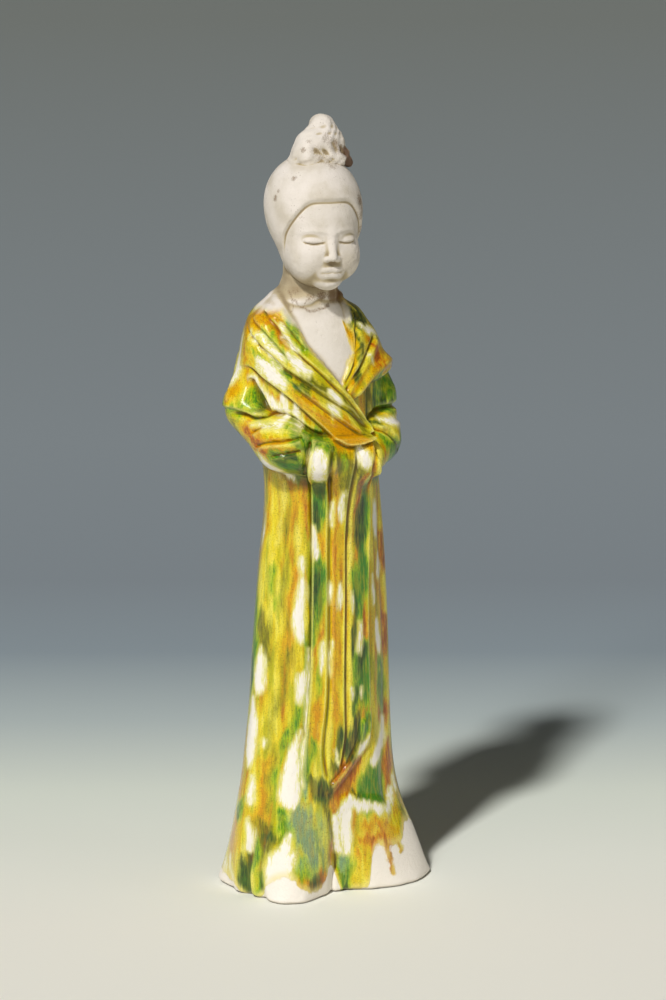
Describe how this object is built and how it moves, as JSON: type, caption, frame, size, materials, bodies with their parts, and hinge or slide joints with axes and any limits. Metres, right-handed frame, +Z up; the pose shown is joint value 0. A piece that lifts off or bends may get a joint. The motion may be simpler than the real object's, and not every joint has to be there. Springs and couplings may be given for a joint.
{
  "type": "standing attendant tomb figure",
  "caption": "Standing figure in a long gown and crossed shawl, hands hidden in the sleeves before the waist, hair drawn up into a topknot, on a spreading hem that is its foot.",
  "frame": {"origin": "on the flat underside, in the middle of the gown's foot", "axes": "+Z up, the face and hands towards -Y, +X to the viewer's right"},
  "size_m": [0.098, 0.0632, 0.36],
  "materials": {
    "glazed_clay": "runny amber, green and cream lead glaze over pale earthenware on the gown and shawl; head, neck, chest and foot bare matt clay"
  },
  "bodies": {
    "root": {"figure": "glazed_clay"}
  },
  "joints": []
}
